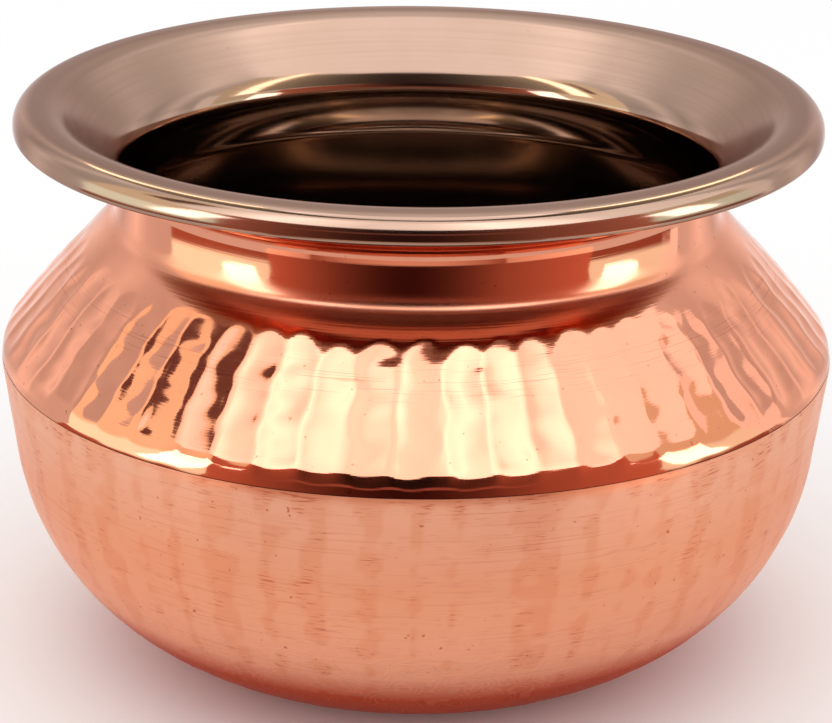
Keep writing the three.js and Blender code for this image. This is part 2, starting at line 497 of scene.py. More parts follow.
@dataclass(frozen=True)
class Flutes:
    """Long hammered hollows side by side round a sheet, each cut on one side by the next.

    Lengths are in millimetres. From misplaced to blows, a value is the most by which a hollow is uneven.

    Attributes:
        count: Hollows round the sheet.
        fade: Path length up the sheet over which they fade out to its lower edge.
        top: Path length of their upper ends.
        depth: Depth along the middle of a hollow.
        steep_radius: Radius of a hollow's steeper side.
        gentle_radius: Radius of its other side.
        end_radius: Radius in which its upper end runs out, up the sheet.
        skew: Rise of that end across the hollow, as a slope.
        ripple: Height of the small unevenness that the blows leave.
        seed: Seed of the irregularities.
        misplaced: Shift round the sheet, as a share of the distance between two hollows.
        deepened: Change of depth, as a share of it.
        raised: Shift of the upper end.
        leaning: Lean of the hollow, as a slope.
        swaying: Sway to both sides up the hollow.
        blows: Change of depth up the hollow, as a share of it.
        blow_lengths: Shortest and longest wave of that sway and of the blows.
        reach: Distance to both sides at which a hollow ends, in distances between two hollows.
        ripple_count: Waves in the small unevenness.
        ripple_lengths: Shortest and longest of them.
        ripple_fade: Path length below the upper ends over which it fades out.
    """

    count: int
    fade: float
    top: float
    depth: float
    steep_radius: float
    gentle_radius: float
    end_radius: float
    skew: float
    ripple: float
    seed: int
    misplaced: float = 0.14
    deepened: float = 0.2
    raised: float = 0.7
    leaning: float = 0.04
    swaying: float = 0.32
    blows: float = 0.12
    blow_lengths: Span = (8.0, 15.0)
    reach: float = 1.3
    ripple_count: int = 24
    ripple_lengths: Span = (3.5, 9.0)
    ripple_fade: float = 4.0

    def strike(self, turn: np.ndarray, along: np.ndarray, radius: np.ndarray) -> np.ndarray:
        """Works out how deep the hollows reach at points on the sheet.

        Args:
            turn: Angle of each point round the axis.
            along: Path length of each point up the sheet, in millimetres.
            radius: Distance of each point from the axis, in millimetres.

        Returns:
            The depth of the deepest hollow at each point, in millimetres.
        """
        draw = np.random.default_rng(self.seed)
        deepest = np.zeros_like(along)
        run_out = math.sqrt(2 * self.end_radius * self.depth)
        for flute in range(self.count):
            place, strength, lift, lean = draw.uniform(-1.0, 1.0, 4)
            sway_phase, blow_phase = draw.uniform(-math.pi, math.pi, 2)
            sway_length, blow_length = draw.uniform(*self.blow_lengths, 2)
            middle = FULL_TURN * (flute + self.misplaced * place) / self.count
            offset = (turn - middle + math.pi) % FULL_TURN - math.pi
            near = np.nonzero(np.abs(offset) < self.reach * FULL_TURN / self.count)[0]
            up = along[near]
            sway = self.swaying * np.sin(FULL_TURN * up / sway_length + sway_phase)
            across = offset[near] * radius[near] + sway + self.leaning * lean * up
            blows = self.blows * np.sin(FULL_TURN * up / blow_length + blow_phase)
            dent = self.depth * (1.0 + self.deepened * strength + blows)
            top_end = self.top + self.raised * lift + self.skew * across
            top_run = np.maximum(0.0, up - (top_end - run_out))
            side_radius = np.where(across < 0.0, self.steep_radius, self.gentle_radius)
            hollow = dent - across**2 / (2 * side_radius) - top_run**2 / (2 * self.end_radius)
            deepest[near] = np.maximum(deepest[near], hollow)
        below_top = np.clip((self.top - along) / self.ripple_fade, 0.0, 1.0)
        deepest += self.unevenness(turn, along, draw) * below_top
        share = np.clip(along / self.fade, 0.0, 1.0)
        return np.maximum(0.0, deepest) * share * share * (3.0 - 2.0 * share)

    def unevenness(self, turn: np.ndarray, along: np.ndarray, draw: np.random.Generator) -> np.ndarray:
        """Adds up small waves that run all ways over the sheet.

        Args:
            turn: Angle of each point round the axis.
            along: Path length of each point up the sheet, in millimetres.
            draw: Source of the waves' lengths and directions.

        Returns:
            The height of the waves at each point, in millimetres.
        """
        middle_radius = SIZES.belly_radius - SIZES.shoulder_reach / 2
        height = np.zeros_like(along)
        for _ in range(self.ripple_count):
            length = draw.uniform(*self.ripple_lengths)
            phase = draw.uniform(0.0, FULL_TURN)
            lean = draw.uniform(0.0, math.pi)
            lobes = round(FULL_TURN * middle_radius * math.cos(lean) / length)
            height += np.cos(lobes * turn + FULL_TURN * math.sin(lean) / length * along + phase)
        return self.ripple * height / math.sqrt(self.ripple_count / 2)


def deselect_all() -> None:
    """Leaves object mode with nothing selected."""
    if bpy.context.object is not None and bpy.context.object.mode != "OBJECT":
        bpy.ops.object.mode_set(mode="OBJECT")
    bpy.ops.object.select_all(action="DESELECT")


def turned(name: str, points: list[Vector], start: float, end: float, steps: int) -> bpy.types.Object:
    """Draws a section as one vertex drawn out point by point, and turns it about the axis.

    Args:
        name: Name of the new object.
        points: The section in the XZ plane, in metres.
        start: Angle at which the turn starts.
        end: Angle at which it ends.
        steps: Steps round the axis.

    Returns:
        The new object.
    """
    deselect_all()
    bpy.ops.mesh.primitive_plane_add(size=MM)
    piece = bpy.context.object
    piece.name = name
    piece.data.name = name
    bpy.ops.object.mode_set(mode="EDIT")
    bpy.ops.mesh.select_all(action="SELECT")
    bpy.ops.mesh.merge(type="CENTER")
    bpy.ops.transform.translate(value=points[0])
    for here, there in zip(points, points[1:]):
        bpy.ops.mesh.extrude_vertices_move(TRANSFORM_OT_translate={"value": there - here})
    bpy.ops.object.mode_set(mode="OBJECT")
    piece.data.transform(Matrix.Rotation(start, 4, "Z"))
    bpy.ops.object.modifier_add(type="SCREW")
    turning = piece.modifiers[-1]
    turning.axis = "Z"
    turning.angle = end - start
    turning.steps = turning.render_steps = steps
    turning.use_merge_vertices = True
    turning.merge_threshold = SAME_POINT
    bpy.ops.object.modifier_apply(modifier=turning.name)
    return piece


@dataclass
class SpunSheet:
    """One sheet of metal: a closed section spun about the bowl's axis.

    Attributes:
        name: Name of the piece.
        node: CAD node that the piece stands for.
        slot: Material slot of the piece; not used.
        columns: Steps round the axis.
        outer: Section of the face that shows.
        inner: Section of the face behind it, from the same end.
        piece: The finished object.
        wave_lobes: Lobes round the axis of the waves in a handmade sheet.
        wave_drift: Most that a wave turns up the sheet, in radians for each millimetre.
        ridge_depth: Depth at which the ridges between marks end, as a share of the marks' own depth.
        batch: Vertices that are placed at once.
    """

    name: str
    node: str
    slot: Slot
    columns: int
    outer: Section
    inner: Section
    piece: bpy.types.Object | None = None
    wave_lobes: tuple[int, ...] = (3, 5, 8, 13)
    wave_drift: float = 0.08
    ridge_depth: float = 0.35
    batch: int = 20000

    def section(self) -> Section:
        """The whole closed section: up the face that shows and back down the one behind it."""
        loop = [*self.outer, *reversed(self.inner)]
        meets_axis = loop[0][0] < SAME_POINT
        return loop if meets_axis else [*loop, loop[0]]

    def build(self) -> bpy.types.Object:
        """Turns the section about the axis and closes the sheet.

        Returns:
            The new object.
        """
        points = [Vector((r * MM, 0.0, z * MM)) for r, z in self.section()]
        self.piece = turned(self.name, points, 0.0, FULL_TURN, self.columns)
        bpy.ops.object.mode_set(mode="EDIT")
        bpy.ops.mesh.select_all(action="SELECT")
        bpy.ops.mesh.remove_doubles(threshold=SAME_POINT)
        bpy.ops.mesh.normals_make_consistent(inside=False)
        bpy.ops.object.mode_set(mode="OBJECT")
        bpy.ops.object.shade_smooth_by_angle(angle=SMOOTH_ANGLE)
        return self.piece

    def path_lengths(self) -> np.ndarray:
        """The path length up the shown face at each of its points, in millimetres."""
        steps = np.linalg.norm(np.diff(np.array(self.outer), axis=0), axis=1)
        return np.concatenate([[0.0], np.cumsum(steps)])

    def length_at(self, height: float) -> float:
        """The path length up the shown face at its point nearest to a height."""
        heights = np.array(self.outer)[:, 1]
        return float(self.path_lengths()[np.argmin(np.abs(heights - height))])

    def places(self) -> tuple[np.ndarray, np.ndarray, np.ndarray]:
        """Finds where each vertex lies on the section.

        Returns:
            The vertices in millimetres, the nearest section point of each, and its path length up the shown
            face, which is negative on the face behind.
        """
        mesh = self.piece.data
        flat = np.empty(len(mesh.vertices) * 3)
        mesh.vertices.foreach_get("co", flat)
        vertices = flat.reshape(-1, 3) / MM
        corners = np.array([*self.outer, *self.inner])
        along = np.concatenate([self.path_lengths(), np.full(len(self.inner), -1.0)])
        spot = np.stack([np.hypot(vertices[:, 0], vertices[:, 1]), vertices[:, 2]], axis=1)
        nearest = np.empty(len(spot), dtype=int)
        for start in range(0, len(spot), self.batch):
            some = slice(start, start + self.batch)
            gap = spot[some, None, :] - corners[None, :, :]
            nearest[some] = np.argmin((gap**2).sum(axis=2), axis=1)
        return vertices, nearest, along[nearest]

    def outward(self) -> np.ndarray:
        """The unit normals of the shown face in the section plane, for each of its points."""
        slope = np.gradient(np.array(self.outer), axis=0)
        normal = np.stack([slope[:, 1], -slope[:, 0]], axis=1)
        return normal / np.linalg.norm(normal, axis=1, keepdims=True)

    def strike(self, works: list[Flutes], wave: float, wave_seed: int) -> None:
        """Beats hammer marks and a slow handmade waviness into the shown face.

        Args:
            works: The hammer work, of which the deepest counts at each point.
            wave: Height of the waviness in millimetres.
            wave_seed: Seed of the waviness.
        """
        vertices, nearest, along = self.places()
        shown = np.nonzero(along >= 0.0)[0]
        turn = np.arctan2(vertices[shown, 0], -vertices[shown, 1])
        radius = np.hypot(vertices[shown, 0], vertices[shown, 1])
        depth = np.zeros(len(shown))
        for work in works:
            depth = np.maximum(depth, work.strike(turn, along[shown], radius))
        draw = np.random.default_rng(wave_seed)
        swell = np.zeros(len(shown))
        for lobes in self.wave_lobes:
            phase = draw.uniform(0.0, FULL_TURN)
            drift = draw.uniform(-self.wave_drift, self.wave_drift)
            swell += np.cos(lobes * turn + phase + drift * along[shown]) / lobes
        normal = self.outward()[nearest[shown]]
        ring = [np.sin(turn) * normal[:, 0], -np.cos(turn) * normal[:, 0], normal[:, 1]]
        vertices[shown] += np.stack(ring, axis=1) * (wave * swell - depth)[:, None]
        mesh = self.piece.data
        mesh.vertices.foreach_set("co", (vertices * MM).ravel())
        self.keep(Layer.ALONG, along)
        ridge = np.zeros(len(vertices))
        deepest = max((work.depth for work in works), default=1.0)
        ridge[shown] = np.clip(1.0 - depth / (self.ridge_depth * deepest), 0.0, 1.0)
        self.keep(Layer.RIDGE, ridge)
        mesh.update()

    def keep(self, layer: Layer, values: np.ndarray) -> None:
        """Stores one value for each vertex."""
        attribute = self.piece.data.attributes.new(layer.value, "FLOAT", "POINT")
        attribute.data.foreach_set("value", values.astype(np.float32))

    def dress(self, material: bpy.types.Material) -> None:
        """Gives the piece its material and ties it to the frame."""
        self.piece.data.materials.clear()
        self.piece.data.materials.append(material)
        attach(self.piece, BODY)
        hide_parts(self.node)
        log.info("%s: %d faces", self.name, len(self.piece.data.polygons))


@dataclass(frozen=True)
class Grain:
    """A noise pattern, all over a piece or drawn out round its axis.

    Attributes:
        scale: Its fineness, for each metre.
        detail: Its finer layers.
        rough: The strength of those.
        along: Its fineness up the sheet, for each millimetre, where it is drawn out round the axis.
    """

    scale: float
    detail: float
    rough: float
    along: float | None = None


@dataclass(frozen=True)
class Ramp:
    """A level that changes while a value passes a range, and is held outside it.

    Attributes:
        start: Value at which the change starts.
        end: Value at which it ends.
        first: Level at the start.
        last: Level at the end.
    """

    start: float
    end: float
    first: float
    last: float

    def moved(self, distance: float) -> Ramp:
        """The same ramp for values that are higher by a distance."""
        return replace(self, start=self.start + distance, end=self.end + distance)


@dataclass(frozen=True)
class StainOrPaintedLight(Ramp):
    """A tone that is mixed into a metal, with a share that follows a ramp: a real stain, or a painted light
    or shade.
    """

    tone: Colour


@dataclass(frozen=True)
class Relief:
    """How far a fine pattern stands out, in metres, and the share of it that shows."""

    height: float
    strength: float


class Graph:
    """A material's or the world's node tree, with short ways to add and join nodes."""

    def __init__(self, tree: bpy.types.NodeTree) -> None:
        """Empties the tree."""
        self.tree = tree
        self.tree.nodes.clear()

    def add(self, kind: str, inputs: dict | None = None, **settings: object) -> bpy.types.Node:
        """Adds a node.

        Args:
            kind: The node's type.
            inputs: Values or output sockets for its inputs, by name or number.
            settings: Values of the node's own properties.

        Returns:
            The node.
        """
        node = self.tree.nodes.new(kind)
        for key, value in settings.items():
            setattr(node, key, value)
        for key, value in (inputs or {}).items():
            if isinstance(value, bpy.types.NodeSocket):
                self.tree.links.new(value, node.inputs[key])
            else:
                node.inputs[key].default_value = value
        return node

    def math(self, operation: str, first: object, second: object = 0.0) -> bpy.types.NodeSocket:
        """Adds a Math node and gives its result."""
        return self.add("ShaderNodeMath", {0: first, 1: second}, operation=operation).outputs[0]

    def mapped(self, value: object, ramp: Ramp) -> bpy.types.NodeSocket:
        """Maps a value by a ramp."""
        inputs = {"From Min": ramp.start, "From Max": ramp.end, "To Min": ramp.first, "To Max": ramp.last}
        return self.add("ShaderNodeMapRange", {"Value": value, **inputs}).outputs["Result"]

    def band(self, value: object, rise: Ramp, fall: Ramp) -> bpy.types.NodeSocket:
        """Maps a value by a ramp that lifts it and another that brings it down."""
        return self.math("MULTIPLY", self.mapped(value, rise), self.mapped(value, fall))

    def stained_or_lit(
        self, colour: object, value: object, stain: StainOrPaintedLight, mask: object = None
    ) -> bpy.types.NodeSocket:
        """Mixes a stain, or a painted light or shade, into a colour.

        Args:
            colour: The colour under it.
            value: The pattern or the place that it follows.
            stain: The stain, or the painted light or shade.
            mask: Share of it that is left, if not all.

        Returns:
            The mixed colour.
        """
        share = self.mapped(value, stain)
        if mask is not None:
            share = self.math("MULTIPLY", share, mask)
        node = self.add("ShaderNodeMix", {0: share, 6: colour, 7: stain.tone}, data_type="RGBA")
        return node.outputs[2]

    def grain(self, grain: Grain) -> bpy.types.NodeSocket:
        """Adds a noise pattern and gives its grey value."""
        if grain.along is None:
            spread = {"Vector": self.place(), "Scale": grain.scale}
        else:
            spread = {"Vector": self.lathed(grain.scale, grain.along), "Scale": 1.0}
        inputs = {**spread, "Detail": grain.detail, "Roughness": grain.rough}
        return self.add("ShaderNodeTexNoise", inputs).outputs[0]

    def layer(self, layer: Layer) -> bpy.types.NodeSocket:
        """Reads one of the mesh's own values."""
        return self.add("ShaderNodeAttribute", attribute_name=layer.value).outputs["Fac"]

    def place(self) -> bpy.types.NodeSocket:
        """Reads the place on the object, in metres."""
        return self.add("ShaderNodeTexCoord").outputs["Object"]

    def lathed(self, round_scale: float, along_scale: float) -> bpy.types.NodeSocket:
        """Gives a place for patterns that are drawn out round the axis.

        Args:
            round_scale: Scale round the axis, for each metre.
            along_scale: Scale up the sheet, for each millimetre.

        Returns:
            The scaled place.
        """
        apart = self.add("ShaderNodeSeparateXYZ", {0: self.place()})
        inputs = {
            0: self.math("MULTIPLY", apart.outputs[0], round_scale),
            1: self.math("MULTIPLY", apart.outputs[1], round_scale),
            2: self.math("MULTIPLY", self.layer(Layer.ALONG), along_scale),
        }
        return self.add("ShaderNodeCombineXYZ", inputs).outputs[0]

    def bump(self, height: object, relief: Relief, normal: object = None) -> bpy.types.NodeSocket:
        """Adds a bump, on top of another where its normal is given."""
        inputs = {"Height": height, "Distance": relief.height, "Strength": relief.strength}
        if normal is not None:
            inputs["Normal"] = normal
        return self.add("ShaderNodeBump", inputs).outputs[0]

    def show(self, shader: bpy.types.Node) -> None:
        """Ends a material with its shader."""
        self.add("ShaderNodeOutputMaterial", {0: shader.outputs[0]})

    def metal(self, colour: object, rough: object, normal: object, edge: object) -> None:
        """Ends a material as bare metal.

        Args:
            colour: Colour of the metal seen square on.
            rough: Its roughness.
            normal: Its bumped normal.
            edge: Tint of the metal seen at a glance, which may change over the piece.
        """
        inputs = {"Base Color": colour, "Metallic": 1.0, "Roughness": rough, "Specular Tint": edge}
        self.show(self.add("ShaderNodeBsdfPrincipled", {**inputs, "Normal": normal}))


def blank_material(name: str) -> tuple[bpy.types.Material, Graph]:
    """Makes a material and gives it with its empty node tree."""
    made = bpy.data.materials.new(name)
    made.use_nodes = True
    return made, Graph(made.node_tree)


@dataclass(frozen=True)
class HammeredCopper:
    """Polished copper with brush lines round the axis, small pits, fine scratches and a dull crevice.

    Heights on the sheet are path lengths in millimetres, those of the crevice from its top.

    Attributes:
        crevice: Path length at the top of the crevice under the neck.
        metal: The bare metal.
        flush: Its redder tone.
        fleck: Dark tone of pits and scratches.
        edge: Tint at a glance.
        polish: Roughness, by the sum of clouds and brush lines.
        worn_from: Where the scratches set in on the slope.
        worn_to: Where they end.
        dull_from: Roughness that is added towards the crevice.
        dull_to: The share of it that is left above.
    """

    crevice: float
    metal: Colour = rgb(0.71, 0.30, 0.19)
    flush: Colour = rgb(0.68, 0.265, 0.165)
    fleck: Colour = rgb(0.34, 0.12, 0.075)
    edge: Colour = rgb(0.94, 0.78, 0.72)
    cloud: Grain = Grain(45.0, 3.0, 0.55)
    brush: Grain = Grain(30.0, 2.0, 0.6, along=3.2)
    dash: Grain = Grain(75.0, 1.0, 0.5, along=5.0)
    pit: Grain = Grain(900.0, 1.0, 0.5)
    clouding: StainOrPaintedLight = StainOrPaintedLight(0.35, 0.7, 0.0, 0.7, flush)
    brush_lines: StainOrPaintedLight = StainOrPaintedLight(0.62, 0.74, 0.0, 0.2, flush)
    scratches: StainOrPaintedLight = StainOrPaintedLight(0.62, 0.70, 0.0, 0.5, fleck)
    pits: StainOrPaintedLight = StainOrPaintedLight(0.75, 0.79, 0.0, 0.7, fleck)
    polish: Ramp = Ramp(0.8, 1.3, 0.05, 0.10)
    worn_from: Ramp = Ramp(14.0, 17.0, 0.0, 1.0)
    worn_to: Ramp = Ramp(20.0, 23.0, 1.0, 0.0)
    dull_from: Ramp = Ramp(-6.0, -2.5, 0.0, 0.15)
    dull_to: Ramp = Ramp(0.0, 1.5, 1.0, 0.0)
    brush_relief: Relief = Relief(0.00002, 0.3)

    def material(self) -> bpy.types.Material:
        """Makes the material."""
        made, graph = blank_material("hammered_copper")
        along = graph.layer(Layer.ALONG)
        cloud = graph.grain(self.cloud)
        brush = graph.grain(self.brush)
        worn = graph.band(along, self.worn_from, self.worn_to)
        colour = graph.stained_or_lit(self.metal, cloud, self.clouding)
        colour = graph.stained_or_lit(colour, brush, self.brush_lines)
        colour = graph.stained_or_lit(colour, graph.grain(self.dash), self.scratches, worn)
        colour = graph.stained_or_lit(colour, graph.grain(self.pit), self.pits)
        dull = graph.band(along, self.dull_from.moved(self.crevice), self.dull_to.moved(self.crevice))
        rough = graph.mapped(graph.math("ADD", cloud, brush), self.polish)
        rough = graph.math("ADD", rough, dull)
        graph.metal(colour, rough, graph.bump(brush, self.brush_relief), self.edge)
        return made


@dataclass(frozen=True)
class SatinCopper:
    """Copper brushed round the axis to a satin shine, with short dark strokes and pits, and painted light
    and shade: paler bands, light and dark columns and a darker red foot.

    Heights on the sheet are path lengths in millimetres, from the middle of the base.

    Attributes:
        metal: The bare metal.
        flush: Its redder tone.
        pale: Its paler tone.
        stroke: Dark tone of pits and strokes.
        edge: Tint at a glance.
        upper: Painted reflection: paler copper towards the seam, for the bright room seen in the bowl's top.
        lower: Painted light: lighter copper above the foot, brightening the table seen in the bowl there.
        hollows: Painted sheen: paler copper in the hammer marks, the light half of painted light and dark
            columns.
        ridges: Painted shade: redder, darker tone between them, the dark half of those columns.
        strokes_on_ridges: Share of the strokes from the marks' hollows to the ridges between them.
        clustered: Share of the strokes in and out of their clusters.
        foot: Painted shade: darker red towards the foot, for the table's shadow seen in it.
        foot_edge: Painted shade: a darker tint of the foot at a glance, for the same shadow.
        swirled: Where fine swirls show, low on the bowl.
        swirl_turns: Angle by which the swirls' pattern winds, in radians.
        polish: Roughness, by the sum of clouds and brush lines.
    """

    metal: Colour = rgb(0.80, 0.33, 0.185)
    flush: Colour = rgb(0.77, 0.285, 0.145)
    pale: Colour = rgb(0.82, 0.45, 0.31)
    stroke: Colour = rgb(0.52, 0.12, 0.065)
    edge: Colour = rgb(0.97, 0.85, 0.80)
    cloud: Grain = Grain(30.0, 3.0, 0.6)
    brush: Grain = Grain(40.0, 2.0, 0.6, along=4.5)
    dash: Grain = Grain(330.0, 1.0, 0.5, along=3.4)
    cluster: Grain = Grain(140.0, 1.0, 0.5, along=0.2)
    pit: Grain = Grain(800.0, 1.0, 0.5)
    swirl: Grain = Grain(160.0, 1.0, 0.5)
    clouding: StainOrPaintedLight = StainOrPaintedLight(0.35, 0.7, 0.0, 0.6, flush)
    # Painted reflection: paler copper towards the seam, for the bright room that the bowl's top shows.
    upper: StainOrPaintedLight = StainOrPaintedLight(92.0, 107.0, 0.0, 0.7, pale)
    # Painted light: lighter copper above the foot, brightening the reflected table.
    lower: StainOrPaintedLight = StainOrPaintedLight(76.0, 92.0, 0.6, 0.0, rgb(0.95, 0.46, 0.285))
    # Painted sheen: paler copper in the hammer marks, light columns.
    hollows: StainOrPaintedLight = StainOrPaintedLight(0.0, 0.8, 0.16, 0.0, rgb(0.92, 0.49, 0.33))
    # Painted shade: redder, darker copper on the ridges, dark columns.
    ridges: StainOrPaintedLight = StainOrPaintedLight(0.0, 1.0, 0.0, 0.36, flush)
    brush_lines: StainOrPaintedLight = StainOrPaintedLight(0.60, 0.74, 0.0, 0.35, stroke)
    strokes: StainOrPaintedLight = StainOrPaintedLight(0.57, 0.68, 0.0, 0.75, stroke)
    strokes_on_ridges: Ramp = Ramp(0.2, 0.8, 0.3, 1.0)
    clustered: Ramp = Ramp(0.42, 0.60, 0.0, 1.0)
    pits: StainOrPaintedLight = StainOrPaintedLight(0.74, 0.79, 0.0, 0.8, stroke)
    # Painted shade: darker red towards the foot, for the reflected table shadow.
    foot: StainOrPaintedLight = StainOrPaintedLight(63.0, 71.5, 0.9, 0.0, rgb(0.60, 0.10, 0.055))
    # Painted shade: darker glancing tint at the foot.
    foot_edge: StainOrPaintedLight = StainOrPaintedLight(63.0, 71.5, 1.0, 0.0, rgb(0.75, 0.45, 0.40))
    swirls: StainOrPaintedLight = StainOrPaintedLight(0.2, 1.0, 0.0, 0.3, pale)
    swirled: Ramp = Ramp(74.0, 83.0, 1.0, 0.0)
    swirl_turns: float = 90.0
    polish: Ramp = Ramp(0.8, 1.3, 0.28, 0.40)
    brush_relief: Relief = Relief(0.00003, 0.4)
    swirl_relief: Relief = Relief(0.00003, 0.5)

    def material(self) -> bpy.types.Material:
        """Makes the material."""
        made, graph = blank_material("satin_copper")
        along = graph.layer(Layer.ALONG)
        ridge = graph.layer(Layer.RIDGE)
        cloud = graph.grain(self.cloud)
        brush = graph.grain(self.brush)
        on_ridges = graph.mapped(ridge, self.strokes_on_ridges)
        clustered = graph.mapped(graph.grain(self.cluster), self.clustered)
        low = graph.mapped(along, self.swirled)
        swirl = graph.math("SINE", graph.math("MULTIPLY", graph.grain(self.swirl), self.swirl_turns))
        colour = graph.stained_or_lit(self.metal, cloud, self.clouding)
        # Painted reflection: paler towards the seam.
        colour = graph.stained_or_lit(colour, along, self.upper)
        # Painted light: lighter above the foot.
        colour = graph.stained_or_lit(colour, along, self.lower)
        # Painted sheen in the hammer marks.
        colour = graph.stained_or_lit(colour, ridge, self.hollows)
        # Painted shade on the ridges between the marks.
        colour = graph.stained_or_lit(colour, ridge, self.ridges)
        colour = graph.stained_or_lit(colour, brush, self.brush_lines)
        stroked = graph.math("MULTIPLY", on_ridges, clustered)
        colour = graph.stained_or_lit(colour, graph.grain(self.dash), self.strokes, stroked)
        colour = graph.stained_or_lit(colour, graph.grain(self.pit), self.pits)
        # Painted shade at the foot.
        colour = graph.stained_or_lit(colour, along, self.foot)
        colour = graph.stained_or_lit(colour, swirl, self.swirls, low)
        rough = graph.mapped(graph.math("ADD", cloud, brush), self.polish)
        normal = graph.bump(brush, self.brush_relief)
        normal = graph.bump(graph.math("MULTIPLY", swirl, low), self.swirl_relief, normal)
        # The edge tint carries painted shade at the foot.
        graph.metal(colour, rough, normal, graph.stained_or_lit(self.edge, along, self.foot_edge))
        return made


@dataclass(frozen=True)
class SpunSteel:
    """Stainless steel with a warm tint and the fine rings that spinning and polishing leave, painted paler
    inside the bowl.

    Heights on the sheet are path lengths in millimetres, from the neck's narrowest circle.

    Attributes:
        throat: Path length at the neck's narrowest circle, from the middle of the floor.
        metal: The bare metal.
        shade: Its darker tone.
        edge: Tint at a glance.
        inside: Painted light: paler steel inside the bowl, lifting its dark inside.
        polish: Roughness, by the sum of clouds and rings.
        brushed_from: Roughness that is added up the brushed flare.
        brushed_to: The share of it that is left on the lip.
    """

    throat: float
    metal: Colour = rgb(0.39, 0.26, 0.20)
    shade: Colour = rgb(0.32, 0.205, 0.15)
    edge: Colour = rgb(0.72, 0.60, 0.58)
    cloud: Grain = Grain(35.0, 3.0, 0.55)
    ring: Grain = Grain(9.0, 3.0, 0.65, along=1.7)
    pit: Grain = Grain(700.0, 1.0, 0.5)
    clouding: StainOrPaintedLight = StainOrPaintedLight(0.35, 0.7, 0.0, 0.5, shade)
    rings: StainOrPaintedLight = StainOrPaintedLight(0.45, 0.72, 0.0, 0.35, shade)
    pits: StainOrPaintedLight = StainOrPaintedLight(0.75, 0.79, 0.0, 0.6, shade)
    # Painted light: paler steel inside the bowl.
    inside: StainOrPaintedLight = StainOrPaintedLight(-16.0, -5.0, 1.0, 0.0, rgb(0.45, 0.36, 0.30))
    polish: Ramp = Ramp(0.8, 1.3, 0.07, 0.13)
    brushed_from: Ramp = Ramp(3.0, 8.0, 0.0, 0.12)
    brushed_to: Ramp = Ramp(18.0, 22.0, 1.0, 0.25)
    ring_relief: Relief = Relief(0.00002, 0.15)

    def material(self) -> bpy.types.Material:
        """Makes the material."""
        made, graph = blank_material("spun_steel")
        along = graph.layer(Layer.ALONG)
        cloud = graph.grain(self.cloud)
        ring = graph.grain(self.ring)
        colour = graph.stained_or_lit(self.metal, cloud, self.clouding)
        colour = graph.stained_or_lit(colour, ring, self.rings)
        colour = graph.stained_or_lit(colour, graph.grain(self.pit), self.pits)
        # Painted light inside the bowl.
        colour = graph.stained_or_lit(colour, along, self.inside.moved(self.throat))
        brushed = graph.band(along, self.brushed_from.moved(self.throat), self.brushed_to.moved(self.throat))
        rough = graph.mapped(graph.math("ADD", cloud, ring), self.polish)
        rough = graph.math("ADD", rough, brushed)
        graph.metal(colour, rough, graph.bump(ring, self.ring_relief), self.edge)
        return made


class SteelLiner(SpunSheet):
    """The spun steel vessel: floor, bowl, neck, flare, and the lip folded under the collar's edge."""

    straight_pitches = 4.0

    def __init__(self, pitch: float = 0.7, hidden_pitch: float = 2.5) -> None:
        """Draws both faces. The face that shows is the inside, the rim's top and the lip."""
        super().__init__(
            name="liner",
            node="steel_liner",
            slot=Slot.LINER_STEEL,
            columns=288,
            outer=self.face(SIZES.steel_sheet, pitch),
            inner=self.face(0.0, hidden_pitch),
        )

    def face(self, thickness: float, pitch: float) -> Section:
        """Draws one face, from the middle of the floor to the end of the fold.

        Args:
            thickness: Depth of the face inside the sheet, from its outside.
            pitch: Longest distance between two points on an arc.

        Returns:
            The face's points.
        """
        depth = SIZES.steel_sheet - thickness
        face = [
            *LINER.lower_face(thickness, 0.0, pitch),
            *LINER.upper_face(thickness, 0.0, pitch),
            *RIM.rim_face(depth, pitch),
            *RIM.hem_face(depth, pitch),
        ]
        return refined([(0.0, face[0][1]), *face], self.straight_pitches * pitch)

    def settle(self) -> None:
        """Gives the spun sheet its slight waviness."""
        self.strike([], wave=0.03, wave_seed=3)


class CopperShoulder(SpunSheet):
    """The jacket's upper half: the collar under the rim, the neck and the hammered shoulder."""

    straight_pitches = 4.0
    collar_pitches = 2.0

    def __init__(self, pitch: float = 0.55, hidden_pitch: float = 2.0) -> None:
        """Draws both faces. The face that shows is the outside."""
        super().__init__(
            name="shoulder",
            node="copper_shoulder",
            slot=Slot.HAMMERED_COPPER,
            columns=660,
            outer=self.face(0.0, pitch),
            inner=self.face(SIZES.copper_sheet, hidden_pitch),
        )

    def face(self, thickness: float, pitch: float) -> Section:
        """Draws one face, from the seam at the belly to the collar's edge.

        Args:
            thickness: Depth of the face inside the sheet, from its outside.
            pitch: Longest distance between two points on an arc.

        Returns:
            The face's points.
        """
        upper = JACKET.upper_face(thickness, SEAM.shoulder_edge, pitch)
        collar = RIM.rim_face(SIZES.wall_build_up - thickness, self.collar_pitches * pitch)
        return refined([*upper, *collar], self.straight_pitches * pitch)

    def hammer(self, fade: float = 1.5, length: float = 21.0) -> None:
        """Strikes the long marks of the shoulder, from just above the belly's edge up to the neck.

        Args:
            fade: Path length above the belly's edge at which the marks are full.
            length: Path length above the belly's edge at which they end.
        """
        crease = (JACKET.crease_end - SEAM.shoulder_edge) * JACKET.crease_radius
        marks = Flutes(
            count=60,
            fade=crease + fade,
            top=crease + length,
            depth=0.26,
            steep_radius=17.0,
            gentle_radius=29.0,
            end_radius=80.0,
            skew=0.4,
            ripple=0.03,
            seed=11,
        )
        self.strike([marks], wave=0.06, wave_seed=5)


